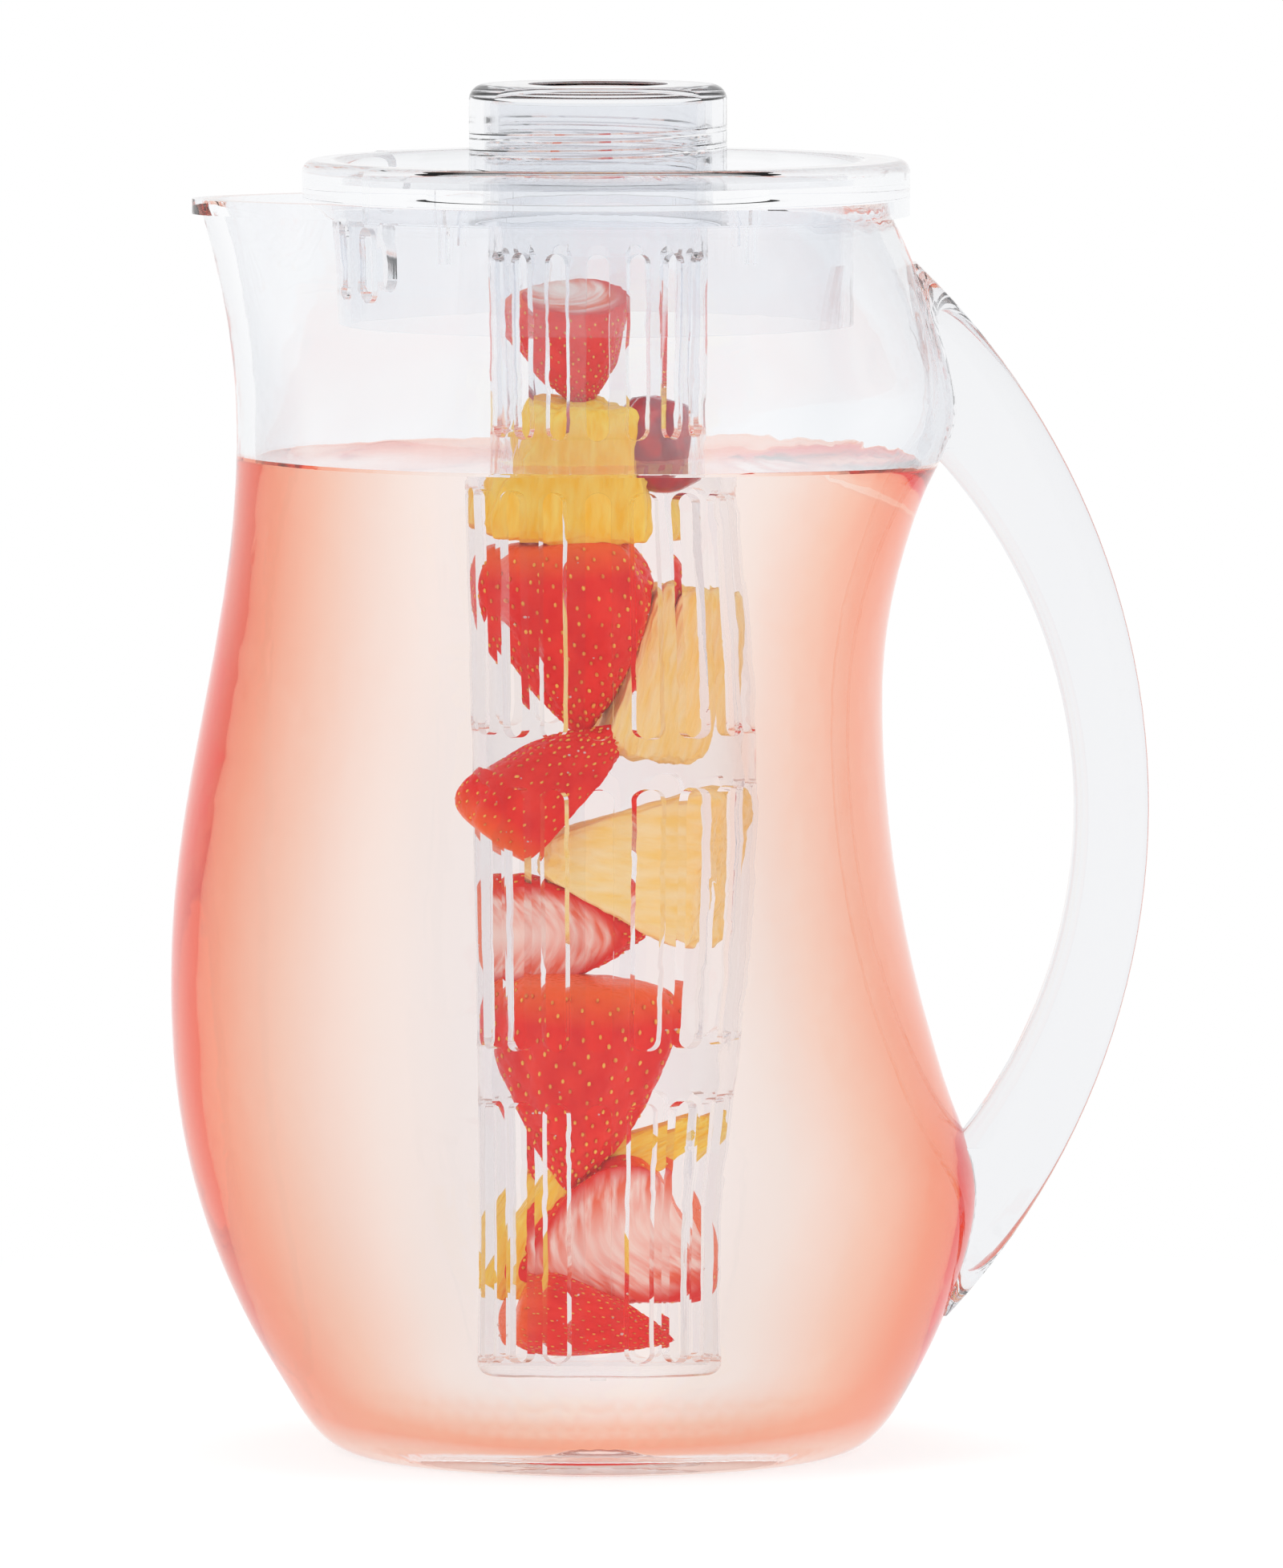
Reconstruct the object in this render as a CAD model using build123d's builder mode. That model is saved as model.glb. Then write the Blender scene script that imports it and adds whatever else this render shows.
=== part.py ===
"""Fruit infuser pitcher: a clear jug with a bonded handle, a lid, a screw knob and a slotted infuser rod.

Millimetres, +Z up. The origin is on the mouth's axis, on the plane that the foot stands on.
The spout points to -X and the handle to +X.
"""

import os
from math import cos, exp, hypot, pi, radians, sin

from build123d import *

# Jug: heights above the table
HEEL_HEIGHT = 11.5
HIP_HEIGHT = 53.0
BELLY_HEIGHT = 91.0
WAIST_HEIGHT = 146.0
THROAT_HEIGHT = 197.0
SHOULDER_HEIGHT = 199.5
RIM_HEIGHT = 242.5

# Jug: reach of the outer wall from the mouth's axis
FOOT_RADIUS = 47.5
HEEL_REACH = 60.0
BELLY_REACH = 82.8
THROAT_REACH = 69.8
HIP_REACH = 74.0
WAIST_REACH = 55.0
SHOULDER_REACH = 69.8
BELLY_HALF_DEPTH = 71.0
NECK_HALF_DEPTH = 62.0
MOUTH_RADIUS = 55.0

# Jug: how quickly each curve of the wall bends
BELLY_BEND = 2.3
HIP_BEND = 1.7
SHOULDER_BEND = 1.5

# Jug: spout, wall, rim bead and floor
SPOUT_LENGTH = 22.4
SPOUT_SPREAD = 21.0
SPOUT_DEPTH = 62.0
WALL = 4.0
BEAD_HEIGHT = 3.0
BEAD_PROUD = 1.0
FLOOR = 5.0
FLOOR_BLEND = 22.0
DOME_RADIUS = 16.0
DOME_HEIGHT = 3.5
DOME_FLAT_RADIUS = 4.5
FOOT_WIDTH = 8.0
FOOT_RECESS = 3.0
CREST_BLEND = 8.0
SECTION_STEP = 11.0
SECTION_POINTS = 25
CORNER_STEPS = 3
EASE_STEPS = 6
RIM_TRIM = 5.0

# Handle: bow in the XZ plane
HANDLE_THICKNESS = 14.7
HANDLE_WIDTH = 16.5
HANDLE_EDGE = 5.0
HANDLE_REACH = 105.7
HANDLE_HEIGHT = 109.0
HANDLE_TOP_HEIGHT = 230.0
HANDLE_LOW_HEIGHT = 26.0
HANDLE_INNER_TOP = 194.0
HANDLE_INNER_LOW = 59.0
HANDLE_OUTER_STAND = 0.6
HANDLE_INNER_SINK = 3.0
HANDLE_ROOT_DEPTH = 12.0

# Lid
LID_OVERHANG = 1.2
LID_RING_RADIUS = MOUTH_RADIUS + BEAD_PROUD + LID_OVERHANG
LID_RING_WIDTH = 7.7
LID_RING_INNER = LID_RING_RADIUS - LID_RING_WIDTH
LID_RING_HEIGHT = 7.5
LID_RING_EDGE = 2.4
LID_WALL = 3.1
LID_WALL_DROP = 3.2
LID_SPOUT_GAP = 4 * SPOUT_SPREAD
LID_PLATE = 3.5
SKIRT_CLEARANCE = 2.0
SKIRT_RADIUS = MOUTH_RADIUS - WALL - SKIRT_CLEARANCE
SKIRT_WALL = 2.2
SKIRT_DEPTH = 24.5
RIB_ANGLE = 35.0
RIB_WIDTH = 1.6
RIB_DEPTH = 11.0
RIB_CLEARANCE = 0.6
POUR_SLOTS = 5
POUR_SLOT_PITCH = 14.0
POUR_SLOT_WIDTH = 5.0
POUR_SLOT_TOP = 5.0
POUR_SLOT_BOTTOM = 5.0

# Thread between the knob and the infuser's neck
THREAD_PITCH = 3.1
THREAD_TURNS = 2.5
THREAD_DEPTH = 1.0
THREAD_ROOT_WIDTH = 1.5
THREAD_CREST_WIDTH = 0.7
THREAD_SINK = 0.25
THREAD_CLEARANCE = 0.3
THREAD_START = 2.2

# Infuser rod
ROD_TOP_RADIUS = 21.3
ROD_LOW_RADIUS = 18.2
ROD_WALL = 2.0
ROD_FLOOR_GAP = 10.5
ROD_LOW_HEIGHT = FLOOR + DOME_HEIGHT + ROD_FLOOR_GAP
NECK_WALL = 1.5
NECK_RADIUS = ROD_TOP_RADIUS - ROD_WALL + NECK_WALL
NECK_HEIGHT = 15.0
NECK_CLEARANCE = 0.5
COLLAR_OVERLAP = 1.3
COLLAR_RADIUS = NECK_RADIUS + THREAD_DEPTH + NECK_CLEARANCE + COLLAR_OVERLAP
COLLAR_HEIGHT = 3.0
ROD_FLOOR = 2.5
ROD_LOW_EDGE = 3.0
NIB_RADIUS = 1.2
NIB_HEIGHT = 1.2
SLOT_WIDTH = 4.3
SLOT_COUNT = 16
SLOT_TIERS = 4
SLOT_ROW_GAP = 9.5
SLOT_TOP_MARGIN = 7.0
SLOT_LOW_MARGIN = 0.5
SLOT_TOP_LENGTH = 36.0

# Knob
KNOB_WALL = 2.8
KNOB_RADIUS = NECK_RADIUS + THREAD_DEPTH + THREAD_CLEARANCE + KNOB_WALL
KNOB_TOP = 3.0
KNOB_TOP_CLEARANCE = 0.5
KNOB_HEIGHT = NECK_HEIGHT + KNOB_TOP_CLEARANCE + KNOB_TOP
KNOB_EDGE = 3.0
KNOB_DISH_RADIUS = 13.5
KNOB_DISH_DEPTH = 1.2

os.makedirs("parts", exist_ok=True)

lid_seat = RIM_HEIGHT
plate_top = lid_seat + LID_PLATE
collar_top = lid_seat
rod_top = collar_top - COLLAR_HEIGHT
thread_crest = NECK_RADIUS + THREAD_DEPTH
knob_bore = thread_crest + THREAD_CLEARANCE


def between(start, end, share):
    """Value that lies the given share of the way from start to end."""
    return start + (end - start) * share


def share_of(z, low, high):
    """How far z has come from low to high, as a share."""
    return (z - low) / (high - low)


def foot_curve(z):
    """Rounded corner from the flat foot to the heel."""
    return between(FOOT_RADIUS, HEEL_REACH, max(z, 0) ** 0.5 / HEEL_HEIGHT**0.5)


def spout_rise(z):
    """How far the spout stands out of the round neck at a height."""
    share = max(0.0, share_of(z, RIM_HEIGHT - SPOUT_DEPTH, RIM_HEIGHT))
    return SPOUT_LENGTH * share**2


def front_reach(z):
    """Spout side of the jug, from foot to lip."""
    if z < HEEL_HEIGHT:
        return foot_curve(z)
    if z < BELLY_HEIGHT:
        climbed = share_of(z, HEEL_HEIGHT, BELLY_HEIGHT)
        return between(HEEL_REACH, BELLY_REACH, 1 - (1 - climbed) ** BELLY_BEND)
    if z < THROAT_HEIGHT:
        swing = (1 - cos(pi * share_of(z, BELLY_HEIGHT, THROAT_HEIGHT))) / 2
        return between(BELLY_REACH, THROAT_REACH, swing)
    lip_reach = MOUTH_RADIUS + SPOUT_LENGTH
    return between(THROAT_REACH, lip_reach, share_of(z, THROAT_HEIGHT, RIM_HEIGHT) ** 2)


def back_reach(z):
    """Handle side of the jug, with its hip, waist and shoulder."""
    if z < HEEL_HEIGHT:
        return foot_curve(z)
    if z < HIP_HEIGHT:
        return between(HEEL_REACH, HIP_REACH, 1 - (1 - share_of(z, HEEL_HEIGHT, HIP_HEIGHT)) ** HIP_BEND)
    if z < WAIST_HEIGHT:
        return between(HIP_REACH, WAIST_REACH, 1 - (1 - share_of(z, HIP_HEIGHT, WAIST_HEIGHT)) ** 2)
    if z < SHOULDER_HEIGHT:
        return between(WAIST_REACH, SHOULDER_REACH, share_of(z, WAIST_HEIGHT, SHOULDER_HEIGHT) ** 2)
    return between(SHOULDER_REACH, MOUTH_RADIUS, share_of(z, SHOULDER_HEIGHT, RIM_HEIGHT) ** SHOULDER_BEND)


def half_depth(z):
    """Front and back of the jug, seen along its length."""
    if z < HEEL_HEIGHT:
        return foot_curve(z)
    if z < BELLY_HEIGHT:
        return between(HEEL_REACH, BELLY_HALF_DEPTH, 1 - (1 - share_of(z, HEEL_HEIGHT, BELLY_HEIGHT)) ** 2)
    if z < THROAT_HEIGHT:
        swing = (1 - cos(pi * share_of(z, BELLY_HEIGHT, THROAT_HEIGHT))) / 2
        return between(BELLY_HALF_DEPTH, NECK_HALF_DEPTH, swing)
    return between(NECK_HALF_DEPTH, MOUTH_RADIUS, share_of(z, THROAT_HEIGHT, RIM_HEIGHT))


def eased(profile, z):
    """Profile with its crests rounded: the mean of the profile just below and above a height."""
    span = min(CREST_BLEND, max(z - HEEL_HEIGHT, 0), max(RIM_HEIGHT - z, 0))
    spread = [step / EASE_STEPS for step in range(-EASE_STEPS, EASE_STEPS + 1)]
    weights = [1 + cos(pi * share) for share in spread]
    return sum(weight * profile(z + span * share) for weight, share in zip(weights, spread)) / sum(weights)


def jug_radii(z):
    """Outer radius at each angle from the spout round to the handle: two half ellipses and a beak."""
    beak = spout_rise(z)
    front = eased(front_reach, z) - beak
    back = eased(back_reach, z)
    depth = eased(half_depth, z)
    radii = []
    for angle in section_angles:
        along = cos(radians(angle)) / (front if angle < 90 else back)
        across = sin(radians(angle)) / depth
        radii.append(1 / hypot(along, across) + beak * exp(-((angle / SPOUT_SPREAD) ** 2)))
    return radii


def jug_section(place, z, inset):
    """Section of the jug's form at height z, drawn in from the wall by an inset and set at a place."""
    reaches = [radius - inset for radius in jug_radii(z)]
    even_steps = [angle / 180 for angle in section_angles]
    with BuildSketch(Plane.XY.offset(place)) as section:
        with BuildLine():
            for side in (-1, 1):
                points = []
                for angle, reach in zip(section_angles, reaches):
                    points.append((-reach * cos(radians(angle)), side * reach * sin(radians(angle))))
                ends = [(0, side * pi * reaches[0]), (0, -side * pi * reaches[-1])]
                add(Edge.make_spline(points, tangents=ends, parameters=even_steps, scale=False))
        make_face()
    return section.sketch


def climb(low, high):
    """Evenly spaced heights from low to high, about one section step apart."""
    count = round((high - low) / SECTION_STEP)
    return [between(low, high, step / count) for step in range(count + 1)]


def above_floor(z):
    """Height in the cavity that copies height z of the outer form, lifted near the floor."""
    return z + FLOOR * max(0, 1 - z / FLOOR_BLEND) ** 2


section_angles = [180 * step / (SECTION_POINTS - 1) for step in range(SECTION_POINTS)]
corner_heights = [HEEL_HEIGHT * (step / CORNER_STEPS) ** 2 for step in range(CORNER_STEPS)]
section_heights = corner_heights + climb(HEEL_HEIGHT, RIM_HEIGHT) + [RIM_HEIGHT + RIM_TRIM]

# Solid form of the jug, with spare height above the rim, which the wall and the handle are cut from
with BuildPart() as jug_form:
    loft([jug_section(height, height, 0) for height in section_heights])

with BuildPart() as jug_cavity:
    loft([jug_section(above_floor(height), height, WALL) for height in section_heights])

with BuildPart() as pitcher_body:
    add(jug_form.part)
    # Bead round the rim
    with BuildSketch(Plane.XY.offset(RIM_HEIGHT - BEAD_HEIGHT)):
        add(jug_section(0, RIM_HEIGHT, -BEAD_PROUD))
    extrude(amount=BEAD_HEIGHT + RIM_TRIM / 2)
    add(jug_cavity.part, mode=Mode.SUBTRACT)
    split(bisect_by=Plane.XY.offset(RIM_HEIGHT), keep=Keep.BOTTOM)
    # Raised dome in the middle of the floor
    with BuildSketch(Plane.XZ):
        with BuildLine():
            low = FLOOR - FOOT_RECESS / 2
            Line((0, low), (DOME_RADIUS, low))
            Line((DOME_RADIUS, low), (DOME_RADIUS, FLOOR))
            TangentArc((DOME_RADIUS, FLOOR), (DOME_FLAT_RADIUS, FLOOR + DOME_HEIGHT), tangent=(-1, 0))
            Line((DOME_FLAT_RADIUS, FLOOR + DOME_HEIGHT), (0, FLOOR + DOME_HEIGHT))
            Line((0, FLOOR + DOME_HEIGHT), (0, low))
        make_face()
    revolve(axis=Axis.Z)
    # Hollow under the floor, which leaves a ring to stand on
    with BuildSketch(Plane.XZ):
        with BuildLine():
            ring = FOOT_RADIUS - FOOT_WIDTH
            Line((0, 0), (ring, 0))
            TangentArc((0, FOOT_RECESS), (ring, 0), tangent=(1, 0))
            Line((0, FOOT_RECESS), (0, 0))
        make_face()
    revolve(axis=Axis.Z, mode=Mode.SUBTRACT)
pitcher_body.part.label = "pitcher_body"
export_step(pitcher_body.part, "parts/pitcher_body.step")


def on_back(z, out):
    """Point in the XZ plane that stands out from the jug's handle side at a height."""
    return (eased(back_reach, z) + out, z)


with BuildPart() as handle:
    with BuildSketch(Plane.XZ):
        with BuildLine():
            inner_bow = (HANDLE_REACH - HANDLE_THICKNESS, HANDLE_HEIGHT)
            outer_top = on_back(HANDLE_TOP_HEIGHT, HANDLE_OUTER_STAND)
            outer_low = on_back(HANDLE_LOW_HEIGHT, HANDLE_OUTER_STAND)
            inner_top = on_back(HANDLE_INNER_TOP, -HANDLE_INNER_SINK)
            inner_low = on_back(HANDLE_INNER_LOW, -HANDLE_INNER_SINK)
            ThreePointArc(outer_top, (HANDLE_REACH, HANDLE_HEIGHT), outer_low)
            Polyline(
                outer_low,
                on_back(HANDLE_LOW_HEIGHT, -HANDLE_ROOT_DEPTH),
                on_back(HANDLE_INNER_LOW, -HANDLE_ROOT_DEPTH),
                inner_low,
            )
            ThreePointArc(inner_low, inner_bow, inner_top)
            Polyline(
                inner_top,
                on_back(HANDLE_INNER_TOP, -HANDLE_ROOT_DEPTH),
                on_back(HANDLE_TOP_HEIGHT, -HANDLE_ROOT_DEPTH),
                outer_top,
            )
        make_face()
    extrude(amount=HANDLE_WIDTH / 2, both=True)
    fillet(handle.edges().filter_by(GeomType.CIRCLE), HANDLE_EDGE)
    add(jug_form.part, mode=Mode.SUBTRACT)
handle.part.label = "handle"
export_step(handle.part, "parts/handle.step")


def upright_plane(angle, z):
    """Plane that faces outward from the axis at an angle from the handle side, at a height."""
    outward = (cos(radians(angle)), sin(radians(angle)), 0)
    sideways = (-sin(radians(angle)), cos(radians(angle)), 0)
    return Plane(origin=(0, 0, z), x_dir=sideways, z_dir=outward)


def turned_profile(angle):
    """Plane through the axis whose X points outward at an angle from the handle side."""
    outward = (cos(radians(angle)), sin(radians(angle)), 0)
    return Plane(origin=(0, 0, 0), x_dir=outward, z_dir=(sin(radians(angle)), -cos(radians(angle)), 0))


def thread_ridge(radius, outward, start):
    """Helical ridge on a round wall: a trapezoid that stands outward (1) or inward (-1) of the radius."""
    with BuildPart() as ridge:
        with BuildLine() as path:
            Helix(THREAD_PITCH, THREAD_PITCH * THREAD_TURNS, radius, center=(0, 0, start))
        with BuildSketch(Plane(origin=(radius, 0, start), x_dir=(1, 0, 0), z_dir=(0, 1, 0))):
            with BuildLine():
                back = -outward * THREAD_SINK
                crest = outward * THREAD_DEPTH
                Polyline(
                    (back, -THREAD_ROOT_WIDTH / 2),
                    (crest, -THREAD_CREST_WIDTH / 2),
                    (crest, THREAD_CREST_WIDTH / 2),
                    (back, THREAD_ROOT_WIDTH / 2),
                    close=True,
                )
            make_face()
        sweep(path=path.wires()[0], is_frenet=True)
    return ridge.part


with BuildPart() as lid:
    ring_top = lid_seat + LID_RING_HEIGHT
    neck_hole = thread_crest + NECK_CLEARANCE
    # Plate, raised ring and skirt, all round
    with BuildSketch(Plane.XZ) as lid_profile:
        with BuildLine():
            Polyline(
                (neck_hole, lid_seat),
                (SKIRT_RADIUS - SKIRT_WALL, lid_seat),
                (SKIRT_RADIUS - SKIRT_WALL, lid_seat - SKIRT_DEPTH),
                (SKIRT_RADIUS, lid_seat - SKIRT_DEPTH),
                (SKIRT_RADIUS, lid_seat),
                (LID_RING_RADIUS, lid_seat),
                (LID_RING_RADIUS, ring_top),
                (LID_RING_INNER, ring_top),
                (LID_RING_INNER, plate_top),
                (neck_hole, plate_top),
                close=True,
            )
        make_face()
        fillet(lid_profile.vertices().group_by(Axis.Y)[-1], LID_RING_EDGE)
    revolve(axis=Axis.Z)
    # Outer wall that hangs over the neck, left open at the spout
    wall_arc = 360 - LID_SPOUT_GAP
    with BuildSketch(turned_profile(-wall_arc / 2)) as wall_profile:
        with BuildLine():
            ring_middle = (LID_RING_INNER + LID_RING_RADIUS) / 2
            Polyline(
                (ring_middle, lid_seat),
                (LID_RING_RADIUS, lid_seat),
                (LID_RING_RADIUS, lid_seat - LID_WALL_DROP),
                (LID_RING_RADIUS + LID_WALL, lid_seat - LID_WALL_DROP),
                (LID_RING_RADIUS + LID_WALL, ring_top),
                (ring_middle, ring_top),
                close=True,
            )
        make_face()
        fillet(wall_profile.vertices().group_by(Axis.Y)[-1].sort_by(Axis.X)[-1], LID_RING_EDGE)
    revolve(axis=Axis.Z, revolution_arc=wall_arc)
    # Ribs that centre the skirt in the mouth
    rib_reach = MOUTH_RADIUS - WALL - RIB_CLEARANCE
    rib_root = SKIRT_RADIUS - SKIRT_WALL / 2
    rib_places = [side * 90 + turn * RIB_ANGLE for side in (-1, 1) for turn in (-1, 1)]
    with BuildSketch(*[turned_profile(angle) for angle in rib_places]):
        with Locations(((rib_root + rib_reach) / 2, lid_seat - RIB_DEPTH / 2)):
            Rectangle(rib_reach - rib_root, RIB_DEPTH)
    extrude(amount=RIB_WIDTH / 2, both=True)
    # Slots in the skirt that let the drink through to the spout
    slot_height = SKIRT_DEPTH - POUR_SLOT_TOP - POUR_SLOT_BOTTOM
    slot_middle = lid_seat - POUR_SLOT_TOP - slot_height / 2
    pour_places = [180 + POUR_SLOT_PITCH * (slot - (POUR_SLOTS - 1) / 2) for slot in range(POUR_SLOTS)]
    with BuildSketch(*[upright_plane(angle, slot_middle) for angle in pour_places]):
        SlotOverall(slot_height, POUR_SLOT_WIDTH, rotation=90)
    extrude(amount=MOUTH_RADIUS, mode=Mode.SUBTRACT)
lid.part.label = "lid"
export_step(lid.part, "parts/lid.step")

with BuildPart() as infuser_rod:
    bore = ROD_TOP_RADIUS - ROD_WALL
    low_bore = ROD_LOW_RADIUS - ROD_WALL
    neck_top = plate_top + NECK_HEIGHT
    rod_floor = ROD_LOW_HEIGHT + ROD_FLOOR
    with BuildSketch(Plane.XZ) as rod_profile:
        with BuildLine():
            Polyline(
                (0, ROD_LOW_HEIGHT),
                (ROD_LOW_RADIUS, ROD_LOW_HEIGHT),
                (ROD_TOP_RADIUS, rod_top),
                (COLLAR_RADIUS, rod_top),
                (COLLAR_RADIUS, collar_top),
                (NECK_RADIUS, collar_top),
                (NECK_RADIUS, neck_top),
                (bore, neck_top),
                (bore, rod_top),
                (low_bore, rod_floor),
                (0, rod_floor),
                close=True,
            )
        make_face()
        fillet(rod_profile.vertices().group_by(Axis.Y)[0].sort_by(Axis.X)[-1], ROD_LOW_EDGE)
    revolve(axis=Axis.Z)
    # Moulding nib under the floor
    with BuildSketch(Plane.XY.offset(ROD_LOW_HEIGHT - NIB_HEIGHT)):
        Circle(NIB_RADIUS)
    extrude(until=Until.NEXT)
    # Tiers of round-ended slots
    slots_top = rod_top - SLOT_TOP_MARGIN
    slots_low = rod_floor + SLOT_LOW_MARGIN
    tall_slot = (slots_top - SLOT_TOP_LENGTH - slots_low) / (SLOT_TIERS - 1) - SLOT_ROW_GAP
    tier_top = slots_top
    for tier in range(SLOT_TIERS):
        length = SLOT_TOP_LENGTH if tier == 0 else tall_slot
        angles = [360 * slot / SLOT_COUNT for slot in range(SLOT_COUNT)]
        with BuildSketch(*[upright_plane(angle, tier_top - length / 2) for angle in angles]):
            SlotOverall(length, SLOT_WIDTH, rotation=90)
        extrude(amount=COLLAR_RADIUS, mode=Mode.SUBTRACT)
        tier_top -= length + SLOT_ROW_GAP
    add(thread_ridge(NECK_RADIUS, 1, plate_top + THREAD_START))
infuser_rod.part.label = "infuser_rod"
export_step(infuser_rod.part, "parts/infuser_rod.step")

with BuildPart() as knob:
    knob_top = plate_top + KNOB_HEIGHT
    with BuildSketch(Plane.XZ) as knob_profile:
        with BuildLine():
            Polyline(
                (knob_bore, plate_top),
                (KNOB_RADIUS, plate_top),
                (KNOB_RADIUS, knob_top),
                (KNOB_DISH_RADIUS, knob_top),
                (KNOB_DISH_RADIUS, knob_top - KNOB_DISH_DEPTH),
                (0, knob_top - KNOB_DISH_DEPTH),
                (0, knob_top - KNOB_TOP),
                (knob_bore, knob_top - KNOB_TOP),
                close=True,
            )
        make_face()
        fillet(knob_profile.vertices().group_by(Axis.Y)[-1].sort_by(Axis.X)[-1], KNOB_EDGE)
    revolve(axis=Axis.Z)
    add(thread_ridge(knob_bore, -1, plate_top + THREAD_START + THREAD_PITCH / 2))
knob.part.label = "knob"
export_step(knob.part, "parts/knob.step")
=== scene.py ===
from math import acos, atan2, cos, hypot, pi, radians, sin, sqrt
from random import Random

import bmesh
import bpy
from bpy.props import FloatProperty, FloatVectorProperty, IntProperty, PointerProperty
from bpy.types import NodeSocket, Operator, Panel, PropertyGroup
from mathutils import Euler, Matrix, Vector, kdtree, noise


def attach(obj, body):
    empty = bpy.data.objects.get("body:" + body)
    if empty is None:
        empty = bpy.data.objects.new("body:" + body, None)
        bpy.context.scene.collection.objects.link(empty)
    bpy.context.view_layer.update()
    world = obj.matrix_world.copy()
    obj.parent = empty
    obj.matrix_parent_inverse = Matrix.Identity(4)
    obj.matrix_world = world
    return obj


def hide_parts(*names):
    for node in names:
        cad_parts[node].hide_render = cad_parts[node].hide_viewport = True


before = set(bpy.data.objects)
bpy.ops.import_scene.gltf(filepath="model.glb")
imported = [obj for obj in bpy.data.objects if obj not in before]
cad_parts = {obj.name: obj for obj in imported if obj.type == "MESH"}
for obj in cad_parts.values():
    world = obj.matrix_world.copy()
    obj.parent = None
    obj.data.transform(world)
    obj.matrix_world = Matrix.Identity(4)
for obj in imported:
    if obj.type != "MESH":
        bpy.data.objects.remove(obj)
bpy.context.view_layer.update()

bl_info = {
    "name": "Fruit infuser pitcher",
    "version": (1, 0, 0),
    "blender": (4, 5, 0),
    "location": "3D view, sidebar, Pitcher tab",
    "description": "Clear acrylic pitcher with a fruit-filled infuser tube in a pink drink",
    "category": "Object",
}

MM = 0.001
WHITE = (1, 1, 1)


# Settings


def colour_setting(name, description, default):
    """Colour that a user may change."""
    return FloatVectorProperty(name=name, description=description, subtype="COLOR", size=3, default=default)


def length_setting(name, description, default):
    """Length in metres that a user may change."""
    return FloatProperty(name=name, description=description, default=default, unit="LENGTH")


class DrinkSettings(PropertyGroup):
    """Level and colours of the drink."""

    level: length_setting("Level", "Height of the drink above the table", 0.192)
    wall_overlap: length_setting("Wall overlap", "How far the drink reaches into the wall", 0.0004)
    meniscus: length_setting("Meniscus", "How far the drink climbs up the wall", 0.0004)
    pale: colour_setting("Pale pink", "Drink seen straight through", (1.0, 0.92, 0.89))
    # Blush, rose and salmon are the drink's pink with painted shade, which grows towards the drink's edge as
    # seen.
    blush: colour_setting("Blush", "Drink a little towards the edge", (1.0, 0.83, 0.745))
    rose: colour_setting("Rose", "Drink nearer the edge", (1.0, 0.60, 0.455))
    salmon_edge_shade: colour_setting("Salmon", "Drink seen along the wall", (1.0, 0.36, 0.21))


class AcrylicSettings(PropertyGroup):
    """Finish of the clear acrylic pieces."""

    clear: colour_setting("Clear", "Clearest colour of the acrylic", (0.975, 0.98, 0.99))
    cool: colour_setting("Cool tint", "Coolest colour of the acrylic", (0.92, 0.93, 0.945))
    thick: colour_setting("Thick tint", "Colour of the thickest acrylic", (0.86, 0.865, 0.885))
    # The edge tints are painted shade, grey, and salmon where the drink is behind; they are mixed in where
    # the surface turns away from the view.
    edge: colour_setting("Edge tint", "Colour of the acrylic seen along its surface", (0.68, 0.70, 0.74))
    thin_edge_shade: colour_setting(
        "Thin edge tint", "Colour along the surface of thin walls", (0.85, 0.865, 0.895)
    )
    wet_edge_shade: colour_setting(
        "Filled edge tint", "Colour along the surface where the drink is behind it", (0.97, 0.60, 0.48)
    )
    index: FloatProperty(name="Index", description="Refractive index in air", default=1.49)
    wet_index: FloatProperty(name="Wet index", description="Index against the drink", default=1.12)


class FruitSettings(PropertyGroup):
    """Colours of the fruit and the number of seeds."""

    seeds: IntProperty(name="Seeds", description="Seeds on a whole strawberry", default=330, min=1)
    bubbles: IntProperty(name="Bubbles", description="Gas bubbles on each strawberry", default=30, min=0)
    red: colour_setting("Ripe red", "Strawberry skin", (0.80, 0.008, 0.010))
    bright: colour_setting("Bright red", "Lightest strawberry skin", (0.95, 0.035, 0.02))
    flesh: colour_setting("Flesh", "Palest streaks of a cut strawberry", (0.98, 0.78, 0.72))
    yellow: colour_setting("Yellow", "Ripe yellow fruit", (1.0, 0.62, 0.03))
    cream: colour_setting("Pale yellow", "Pale yellow fruit", (1.0, 0.74, 0.22))
    dark: colour_setting("Dark red", "Dark berry skin", (0.26, 0.006, 0.03))


class StudioSettings(PropertyGroup):
    """Camera and light."""

    distance: length_setting("Distance", "Camera to pitcher", 3.1)
    elevation: FloatProperty(
        name="Elevation", description="Camera's height as an angle", default=radians(4.7), subtype="ANGLE"
    )
    target: FloatVectorProperty(
        name="Target", description="Point in the middle of the picture", subtype="TRANSLATION", size=3,
        default=(0.0084, 0.0, 0.129),
    )
    view_height: length_setting("View height", "Height that the picture takes in", 0.3035)
    shade: FloatProperty(
        name="Ceiling shade", description="Brightness of the ceiling that glass sees", default=0.6
    )
    room: FloatProperty(
        name="Room shade", description="Brightness of the room that polished surfaces mirror", default=0.35
    )


def pick_only(piece):
    """Leaves one object selected and active, in object mode."""
    bpy.ops.object.select_all(action="DESELECT")
    piece.select_set(True)
    bpy.context.view_layer.objects.active = piece


def rename(piece, name):
    """Gives an object and its mesh the piece's name."""
    piece.name = name
    piece.data.name = name
    return piece


# Materials

# Light is bent only weakly at the skin of fruit that lies in a drink
FRUIT_INDEX = 1.16
DRINK_INDEX = 1.33
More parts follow.
